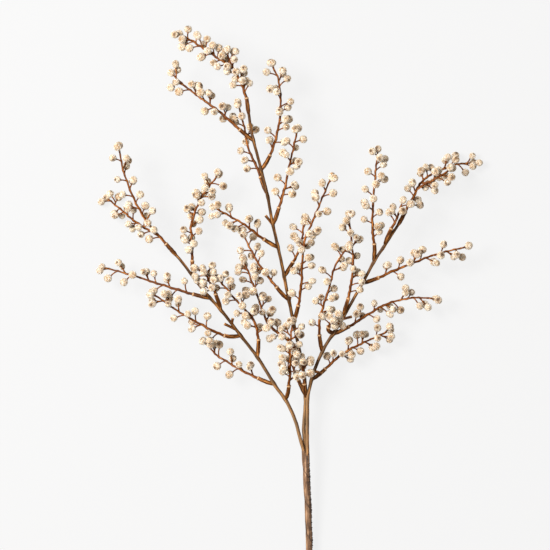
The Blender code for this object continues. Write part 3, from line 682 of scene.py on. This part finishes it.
BEND_REACH = 2.6
JOINT_SWELL = 0.26
JOINT_REACH = 1.7
STALK_COLUMNS = 7
STALK_ROWS = 8
STALK_SUNK = 0.8


def raised(plan, heights):
    """Route seen from above with the heights spread evenly along it."""
    flat = np.array([(x, y, 0.0) for x, y in plan])
    along = lengths_along(flat)
    flat[:, 2] = np.interp(along, np.linspace(0, along[-1], len(heights)), heights)
    return flat


def plugged_route(name):
    """Smooth route of a sprig: the whole of it from its stem's middle, and the part that starts clear
    of the stem by the seat gap."""
    host, plan, heights, _ = SPRIGS[name]
    stem = stems[host]
    points = raised(plan, heights)
    if name in END_SPRIGS:
        start = stem[-1] + unit(stem[-1] - stem[-2]) * SEAT_GAP
        route = smooth_route([start, *points[1:]])
        return np.vstack([start - unit(stem[-1] - stem[-2]) * SUNK_PLUG, route]), route
    index = nearest(stem, *plan[0])
    whole = smooth_route([stem[index], *points[1:]])
    stem_radius = np.interp(index, (0, len(stem)), STEM_RADII)
    total = lengths_along(whole)[-1]
    for start in np.arange(1.0, 0.5 * total, SEAT_STEP):
        travel = direction_at(whole, start)
        sideways = unit(np.cross(travel, UPWARD_HINT))
        turn = np.linspace(0, 2 * math.pi, 24)[:, None]
        rim = points_at(whole, [start]) + PLUG_END_RADIUS * (
            np.cos(turn) * sideways + np.sin(turn) * np.cross(travel, sideways))
        if np.linalg.norm(rim[:, None] - stem[None], axis=2).min() > stem_radius + SEAT_GAP:
            break
    sunk = points_at(whole, [start - SUNK_PLUG - 1.5, start - 1.5])
    clear = points_at(whole, np.arange(start, total, SAMPLE_STEP))
    return np.vstack([sunk, clear]), clear


def plug_end(total):
    """Where a sprig's plug ends: at the plug's length, or two fifths along a short sprig."""
    return min(PLUG_LENGTH, 0.4 * total)


def facet_route(route, side_twig):
    """Close points on the straight facets of the twig's solid, which the berries' places are read on."""
    total = lengths_along(route)[-1]
    first = 0.0 if side_twig else plug_end(total)
    distances = [] if side_twig else [0.0, 3.0, first - 0.5]
    run = np.linspace(first, total, max(3, round((total - first) / TWIG_SEGMENT)) + 1)
    return along_chords(points_at(route, [*distances, *run]))


class Occupied:
    """Spheres along everything already placed, asked whether new spheres are clear of them."""

    def __init__(self):
        self.centres = np.zeros((0, 3))
        self.radii = np.zeros(0)
        self.owners = np.zeros(0, dtype=int)
        self.kinds = np.zeros(0, dtype=int)

    def add(self, centres, radii, owner, kind):
        """Add spheres of a sprig, of the kind twig 0, stalk 1 or berry 2."""
        self.centres = np.vstack([self.centres, centres])
        self.radii = np.concatenate([self.radii, np.broadcast_to(radii, len(centres))])
        self.owners = np.concatenate([self.owners, np.full(len(centres), owner)])
        self.kinds = np.concatenate([self.kinds, np.full(len(centres), kind)])

    def clear(self, centres, radius, skip):
        """True where every sphere is the clearance away from all those that are not skipped."""
        gaps = np.linalg.norm(self.centres[None] - centres[:, None], axis=2) - self.radii - radius
        return bool(np.all(gaps[:, ~skip] > CLEARANCE))


def clear_place(route, place, side, lean, length, radius, owner):
    """Place, centre, radius and outward direction of the first tried stalk that is clear of everything
    placed: centre = root + (length + radius) (cos lean travel + sin lean outward)."""
    root = points_at(route, [place])[0]
    travel = direction_at(route, place)
    right = unit(np.cross(travel, (0, 0, 1)))
    front = np.cross(right, travel)
    own = occupied.owners == owner
    for share in TRY_LENGTHS:
        for turn in TRY_TURNS:
            angle = math.radians(side + turn)
            outward = math.cos(angle) * right + math.sin(angle) * front
            axis = math.cos(lean) * travel + math.sin(lean) * outward
            centre = root + axis * (length * share + radius)
            if centre[2] - radius < FLOOR_CLEARANCE:
                continue
            stalk = root + axis * np.linspace(2.5, length * share, 5)[:, None]
            if not occupied.clear(centre[None], radius, np.zeros(len(own), dtype=bool)):
                continue
            if not occupied.clear(stalk, STALK_RADIUS, own & (occupied.kinds < 2)):
                continue
            occupied.add(centre[None], radius, owner, 2)
            occupied.add(stalk, STALK_RADIUS, owner, 1)
            return place, centre, radius, outward
    return None


twigs = {}
for name, (_, _, _, pattern) in SPRIGS.items():
    whole, clear_route = plugged_route(name)
    twigs[name] = (name, whole, facet_route(clear_route, False), pattern)
    if name in FORKS:
        plan, heights, fork_pattern = FORKS[name]
        fork_points = raised(plan, heights)
        main = twigs[name][2]
        fork_points[0] = main[nearest(main, *plan[0])]
        side_route = smooth_route(fork_points)
        twigs[name + "_fork"] = (name, side_route, facet_route(side_route, True), fork_pattern)

occupied = Occupied()
owners = {name: number for number, name in enumerate(SPRIGS)}
occupied.add(trunk, TRUNK_RADII[1], -1, 0)
for stem in stems.values():
    occupied.add(stem, STEM_RADII[0], -1, 0)
for sprig, _, route, _ in twigs.values():
    plug = lengths_along(route) < PLUG_LENGTH
    occupied.add(route, np.where(plug, PLUG_RADIUS, TWIG_RADIUS), owners[sprig], 0)
tip_berries = {}
for name, (sprig, _, route, _) in twigs.items():
    travel = unit(route[-1] - route[-3])
    centre = route[-1] + travel * BERRY_DIAMETER / 2 * 0.75
    if name in RESTING_TWIGS:
        centre[2] = RESTING_HEIGHT
    tip_berries[name] = (route[-1] - travel * 2.0, centre)
    occupied.add(centre[None], BERRY_DIAMETER / 2, owners[sprig], 2)

side_berries = {name: [] for name in twigs}
for name, (sprig, _, route, pattern) in twigs.items():
    draw = random.Random(name + " stations")
    total = lengths_along(route)[-1]
    bare = PLUG_LENGTH + BARE_AFTER_PLUG if name in SPRIGS else BARE_SIDE_TWIG
    bare = min(bare, LONGEST_BARE * total)
    letters = pattern[:-1]
    pitch = (total - BARE_TIP - bare) / len(letters)
    places = [bare + pitch * (number + 0.5 + draw.uniform(-PLACE_PLAY, PLACE_PLAY))
              for number in range(len(letters))]
    draw = random.Random(name)
    for letter, place in zip(letters, places):
        pair = []
        for turn in (-PAIR_TURN, PAIR_TURN) if letter.isupper() else (0,):
            side = SIDE_TURNS[letter.lower()] + turn + draw.uniform(-TURN_PLAY, TURN_PLAY)
            radius = BERRY_DIAMETER / 2 * draw.uniform(1 - SIZE_PLAY, 1 + SIZE_PLAY)
            lean = STALK_LEAN + draw.uniform(-LEAN_PLAY, LEAN_PLAY)
            length = STALK_LENGTH * draw.uniform(1 - LENGTH_PLAY, 1 + LENGTH_PLAY)
            if turn > 0:
                length *= SECOND_LENGTH
            found = clear_place(route, place + turn / PAIR_TURN, side, math.radians(lean), length, radius,
                                owners[sprig])
            if found:
                pair.append(found)
        if pair:
            side_berries[name].append(pair)

twig_bark = bark_material("twig_bark", (OLD_BARK, YOUNG_BARK), (0.040, 0.012, 0.003), 0.46, 0.10)


def bent_twig(name, whole, route):
    """The twig's route pushed aside by up to the bend depth at each stalk, away from the stalk, as a
    bell curve along the twig; and its distances from where it leaves the stem."""
    total = lengths_along(whole)[-1]
    sunk = total - lengths_along(route)[-1]
    edge = sunk + plug_end(total - sunk) if name in SPRIGS else 0.0
    eased = smooth_route(points_at(whole, np.linspace(0, total, int(total / 4.0) + 2)), 0.8)
    end = lengths_along(eased)[-1]
    near_edge = np.arange(max(edge - RING_REACH, 0.0), min(edge + RING_REACH, end), RING_STEP)
    stops = np.concatenate([np.linspace(0, end, int(end / TWIG_STEP)), near_edge])
    curve = points_at(eased, np.unique(stops.round(2)))
    along = lengths_along(curve) - sunk
    for pair in side_berries[name]:
        place, _, _, outward = pair[0]
        curve = curve - BEND_DEPTH * bell(along - place, BEND_REACH)[:, None] * outward
    return curve, along


def twig_surface(name, curve, along):
    """A ring carried along the twig: a thick plug with grooves along it, the torn edge where the plug
    ends, and a thinner run that swells a little at each stalk and narrows to the tip. The radii are
    read between sizes given at places along it, and ribs are sine waves round and along them."""
    end = along[-1]
    if name in SPRIGS:
        plug = plug_end(end)
        places = (along[0], 0.0, 3.0, plug - 2.5, plug - 1.4, plug - 0.6, plug + 0.4, plug + 1.1,
                  plug + 2.6, plug + 0.35 * (end - plug), end)
        sizes = (1.7, 2.2, 2.60, 2.40, 2.35, 2.80, 2.65, 1.95, 1.76, 1.38, 0.98)
        tone = np.interp(along, (plug * 0.6, plug * 1.3), (0.35, 1.0))
        torn_and_lit = bell(along - plug, 0.8)
        groove = np.clip(1 - np.abs(along / plug - 0.5) * 1.6, 0, 1)
    else:
        places, sizes = (0.0, 3.0, 0.4 * end, end), (1.65, 1.48, 1.30, 0.98)
        tone = np.ones_like(along)
        torn_and_lit = np.zeros_like(along)
        groove = torn_and_lit
    radii = np.interp(along, places, sizes)
    for pair in side_berries[name]:
        radii = radii + JOINT_SWELL * bell(along - pair[0][0], JOINT_REACH)
    turn = full_turn(TWIG_COLUMNS)[None]
    far = along[:, None]
    ribs = (0.04 * np.sin(2 * turn + 0.2 * far) + 0.03 * np.sin(0.9 * far + turn)
            + 0.09 * groove[:, None] * np.sin(5 * turn + 0.06 * far + owners[twigs[name][0]])
            + torn_and_lit[:, None] * (0.16 * np.sin(3 * turn + 7 * far) + 0.14 * np.sin(5 * turn - 5 * far)))
    radii = radii[:, None] * (1 + ribs)
    whole = np.ones((1, len(curve), TWIG_COLUMNS))
    return (carried_rings(curve, radii, TWIG_COLUMNS)[None], {
        "bark_place": bark_place(curve, radii, TWIG_COLUMNS, 0.12) + 31.0 * owners[twigs[name][0]],
        "tone": tone[None, :, None] * whole,
        "torn_and_lit": 0.85 * torn_and_lit[None, :, None] * whole})


def stalk_path(root, centre, radius, travel):
    """Points from a stalk's root to just inside its berry, on a curve that leaves along the twig and
    turns to the berry: (1-t)^2 root + 2t(1-t) elbow + t^2 end."""
    end = centre - unit(centre - root) * (radius - STALK_SUNK)
    elbow = root + travel * np.linalg.norm(centre - root) * 0.14 + (end - root) * 0.30
    t = np.linspace(0, 1, STALK_ROWS)[:, None]
    return (1 - t) ** 2 * root + 2 * t * (1 - t) * elbow + t ** 2 * end


def stalk_surfaces(paths, seed):
    """Rings carried along many stalks at once: wide where they leave the twig, thin in the middle and
    flared under the berry."""
    t = np.linspace(0, 1, paths.shape[1])
    sizes = np.interp(t, (0, 0.16, 0.45, 0.8, 1.0), (1.20, 0.98, 0.84, 0.86, 1.15))
    travel = unit(np.gradient(paths, axis=1))
    upward = unit(np.cross(travel, unit(np.array((0.31, 0.52, 0.80)))))
    sideways = np.cross(travel, upward)
    turn = full_turn(STALK_COLUMNS)[:, None]
    spokes = np.cos(turn) * sideways[:, :, None] + np.sin(turn) * upward[:, :, None]
    grids = paths[:, :, None] + sizes[None, :, None, None] * spokes
    tone = np.interp(t, (0, 1), (1.0, 0.82))[None, :, None] * np.ones(grids.shape[:3])
    return grids, {"bark_place": grids * 0.6 + seed, "tone": tone, "torn_and_lit": np.zeros_like(tone)}


berry_facts = {name: [] for name in SPRIGS}
for name in SPRIGS:
    surfaces, paths = [], []
    for twig in (name, name + "_fork"):
        if twig not in twigs:
            continue
        _, whole, route, _ = twigs[twig]
        curve, along = bent_twig(twig, whole, route)
        surfaces.append(twig_surface(twig, curve, along))
        start = lengths_along(curve)[-1] - along[-1]
        root, centre = tip_berries[twig]
        berry_facts[name].append((centre, unit(centre - root), BERRY_DIAMETER / 2))
        for pair in side_berries[twig]:
            place = pair[0][0]
            stalk_root = points_at(curve, [place + start])[0]
            travel = direction_at(curve, place + start)
            # The second stalk of a pair forks off the first one, halfway to its berry. The two highest
            # berries are lowered, to stay near the solids' top.
            for _, centre, radius, _ in pair:
                centre = np.minimum(centre, (np.inf, np.inf, HIGHEST_BERRY))
                path = stalk_path(stalk_root, centre, radius, travel)
                paths.append(path)
                berry_facts[name].append((centre, unit(path[-1] - path[-2]), radius))
                stalk_root = path[3]
                travel = unit(path[4] - path[3])
    surfaces.append(stalk_surfaces(np.array(paths), 7.0 * owners[name]))
    new_piece(name + "_twig", surfaces, twig_bark, [name])

# Berries: balls of cream felt pressed on the stalks, each lumpy in its own way, often with one larger
# brown eye. Painted shade darkens their hollows and, on many, a broad patch round the eye, mostly on
# top, where the pale fluff is thinned too. Their coat is half low crumbs of felt and half thin loose
# hairs.
BERRY_ROWS = 11
BERRY_COLUMNS = 15
BERRY_SIZES = (0.96, 1.13)
OVAL_SHARE = 0.15
OVAL_STRETCH = 0.11
CORE_SHARE = 0.94
LUMP_WAVES = 10
LUMP_TURNS = (3.0, 7.5)
LUMP_DEPTH = 0.20
NECK_RISE = 0.45
NECK_WIDTH = 0.30
STAIN_REACH = 0.42
EYE_DEPTH = 0.55
EYE_WIDTHS = (0.36, 0.66)
SHADED_CENTRE_WIDTH = 1.05
TUFTS = 280
TUFT_FOOT = 0.2
CRUMB_RADII = (0.50, 1.05)
CRUMB_HEIGHTS = (0.30, 0.70)
CRUMB_LEAN = 0.35
HAIR_RADII = (0.06, 0.10)
HAIR_LENGTHS = (1.0, 2.0)
HAIR_LEAN = 0.75

felt, felt_tree, felt_shader, felt_colour, _ = mottled_base(
    "berry_felt", "felt_place", 0.32, 1.15, 0.20,
    ((0.0, (0.43, 0.28, 0.15)), (0.45, (0.70, 0.55, 0.38)), (1.0, (0.93, 0.84, 0.70))),
    (0.16, 0.09, 0.04), 0.95)
# The first mark is painted shade in the hollows and over a broad patch round the eye, with each berry's
# own tone.
for mark, over, blend in (("painted_shade_and_tone", (0.60, 0.46, 0.32, 1.0), "MULTIPLY"),
                          ("eye", (0.085, 0.038, 0.014, 1.0), "MIX"),
                          ("fluff", (0.98, 0.94, 0.87, 1.0), "MIX")):
    felt_colour = laid_over(felt_tree, attribute_of(felt_tree, mark), felt_colour, over, blend)
felt_tree.links.new(felt_colour, felt_shader.inputs["Base Color"])
for socket_name, value in (("Subsurface Weight", 0.5), ("Subsurface Radius", (1.0, 0.8, 0.6)),
                           ("Subsurface Scale", 0.003), ("Sheen Weight", 0.08),
                           ("Sheen Roughness", 0.5)):
    felt_shader.inputs[socket_name].default_value = value
felt_grain = speckle(felt_tree, attribute_of(felt_tree, "felt_place", "Vector"), 2.4, 5.0, 0.8)
raise_grain(felt_tree, felt_shader, felt_grain, 0.0008)


def berry_balls(centres, axes, radii, shuffle):
    """Many balls at once, and the looks of each that its coat follows. A ball's point at polar angle p
    from the stalk and turn q lies at centre + r (-cos p axis + sin p (cos q sideways + sin q other)).
    There r is the core's radius, longer or shorter with cos 2p where the ball is oval, plus lumps,
    which are a sum of sine waves across the ball, plus a neck round the stalk, less an eye, a bell
    curve of the angle from the eye's own direction."""
    count = len(centres)
    polar = np.linspace(0.14, math.pi - 0.12, BERRY_ROWS)[:, None]
    turn = full_turn(BERRY_COLUMNS)[None]
    sideways = unit(np.cross(axes, UPWARD_HINT))
    other = np.cross(sideways, axes)
    rays = (-np.cos(polar)[None, :, :, None] * axes[:, None, None]
            + (np.sin(polar) * np.cos(turn))[None, :, :, None] * sideways[:, None, None]
            + (np.sin(polar) * np.sin(turn))[None, :, :, None] * other[:, None, None])
    waves = unit(shuffle.normal(size=(LUMP_WAVES, 3))) * shuffle.uniform(*LUMP_TURNS, (LUMP_WAVES, 1))
    phases = shuffle.uniform(0, 2 * math.pi, (count, 1, 1, LUMP_WAVES))
    lumps = np.sin(rays @ waves.T + phases).sum(axis=-1) / math.sqrt(LUMP_WAVES)
    eyes = unit(0.7 * axes + shuffle.normal(0, 0.6, (count, 3)) + np.array((0.0, 0.0, 0.9)))
    eye_width = shuffle.uniform(*EYE_WIDTHS, (count, 1, 1))
    from_eye = 1 - np.einsum("nrcx,nx->nrc", rays, eyes)
    in_eye = bell(2 * from_eye, eye_width ** 2)
    neck = bell(polar, NECK_WIDTH)[None]
    oval = shuffle.uniform(-0.04, 0.05, (count, 1, 1))
    oval = oval + np.where(shuffle.random((count, 1, 1)) < OVAL_SHARE, OVAL_STRETCH, 0.0)
    distance = (radii[:, None, None] * CORE_SHARE * (1 + oval * np.cos(2 * polar)[None])
                + LUMP_DEPTH * lumps * (1 - 0.5 * neck) - EYE_DEPTH * in_eye + NECK_RISE * neck)
    grids = centres[:, None, None] + distance[..., None] * rays
    grids[..., 2] = np.maximum(grids[..., 2], 0.0)
    own_shift = shuffle.uniform(-40, 40, (count, 1, 1, 3))
    stalk_stain = 0.75 * bell(polar, STAIN_REACH)[None] * np.ones_like(lumps)
    darkness = np.clip(shuffle.uniform(-0.5, 1.8, (count, 1, 1)), 0.05, 1.0)
    # Painted shade: darker in the hollows between lumps and, by each berry's share, over a broad patch
    # round the eye; each berry also has its own tone.
    berry_tone = shuffle.uniform(-0.30, 0.30, (count, 1, 1))
    painted_lighting = shuffle.uniform(0.0, 1.1, (count, 1, 1))
    painted_centre_shade = painted_lighting * bell(2 * from_eye, SHADED_CENTRE_WIDTH ** 2)
    balls = (grids, {"felt_place": own_shift + distance[..., None] * rays,
                     "painted_shade_and_tone": np.clip(0.20 + berry_tone - 0.62 * lumps + painted_centre_shade, 0, 1),
                     "eye": np.clip(np.maximum(in_eye * darkness, stalk_stain), 0, 1),
                     "fluff": np.zeros_like(lumps)})
    return balls, (eyes, *(look[:, 0] for look in (eye_width, oval, own_shift, darkness, painted_lighting)))


def berry_coats(centres, axes, radii, looks, shuffle):
    """The tufts of many balls' coats. A tuft is a ring of three points just inside the ball, in a
    direction of a sunflower spiral that each ball turns its own way, and a tip that leans out at
    random. By turns a tuft is broad and low, a crumb, or thin and long, a hair."""
    eyes, eye_width, oval, own_shift, darkness, painted_lighting = looks
    count = len(centres)
    rank = np.arange(TUFTS) + 0.5
    rise = 1 - 2 * rank / TUFTS
    bearing = rank * math.pi * (3 - math.sqrt(5))
    spiral = np.column_stack([np.sqrt(1 - rise ** 2) * np.cos(bearing),
                              np.sqrt(1 - rise ** 2) * np.sin(bearing), rise])
    own_turn = np.linalg.qr(shuffle.normal(size=(count, 3, 3)))[0]
    away = unit((spiral + shuffle.normal(0, 0.10, (count, TUFTS, 3))) @ own_turn)
    hair = (np.arange(TUFTS) % 2 == 1)[:, None]
    lean = unit(away + np.where(hair, HAIR_LEAN, CRUMB_LEAN) * shuffle.normal(0, 1.0, away.shape))
    height = np.where(hair, shuffle.uniform(*HAIR_LENGTHS, (count, TUFTS, 1)),
                      shuffle.uniform(*CRUMB_HEIGHTS, (count, TUFTS, 1)))
    from_eye = 1 - np.einsum("nfx,nx->nf", away, eyes)
    in_eye = bell(2 * from_eye, eye_width ** 2)
    dark = in_eye * darkness
    stretch = 1 + oval * (2 * np.einsum("nfx,nx->nf", away, axes) ** 2 - 1)
    depth = radii[:, None] * CORE_SHARE * stretch - TUFT_FOOT - EYE_DEPTH * in_eye
    feet = centres[:, None] + away * depth[..., None]
    tips = feet + lean * (height * (1 - 0.85 * dark[..., None]) + TUFT_FOOT)
    tips[..., 2] = np.maximum(tips[..., 2], 0.0)
    beside = unit(np.cross(away, UPWARD_HINT))
    beyond = np.cross(beside, away)
    third = full_turn(3)[:, None] + shuffle.uniform(0, 2 * math.pi, (count, TUFTS, 1, 1))
    width = np.where(hair[:, None], shuffle.uniform(*HAIR_RADII, (count, TUFTS, 1, 1)),
                     shuffle.uniform(*CRUMB_RADII, (count, TUFTS, 1, 1)))
    ring = feet[:, :, None] + width * (np.cos(third) * beside[:, :, None]
                                       + np.sin(third) * beyond[:, :, None])
    ring[..., 2] = np.maximum(ring[..., 2], 0.0)
    felt_place = (own_shift + (feet - centres[:, None])).reshape(-1, 1, 1, 3)
    fluff = np.where(hair[:, 0], 0.9, shuffle.uniform(0.0, 0.55, (count, TUFTS))) * (1 - 0.9 * dark)
    # Pale fluff is thinned round the eye, as part of the painted shade over a berry's centre.
    fluff = fluff * (1 - 0.6 * painted_lighting * bell(2 * from_eye, SHADED_CENTRE_WIDTH ** 2))
    each = np.ones((1, 1, 3))
    return ring.reshape(-1, 1, 3, 3), {
        "poles": tips.reshape(-1, 1, 3), "felt_place": felt_place * each[..., None],
        "painted_shade_and_tone": np.zeros((count * TUFTS, 1, 3)), "eye": dark.reshape(-1, 1, 1) * each,
        "fluff": fluff.reshape(-1, 1, 1) * each}


for number, name in enumerate(SPRIGS):
    centres, axes, radii = (np.array(facts) for facts in zip(*berry_facts[name]))
    shuffle = np.random.default_rng(number)
    radii = radii * shuffle.uniform(*BERRY_SIZES, len(radii))
    balls, looks = berry_balls(centres, axes, radii, shuffle)
    coats = berry_coats(centres, axes, radii, looks, shuffle)
    new_piece(name + "_berries", [balls, coats], felt, [name])
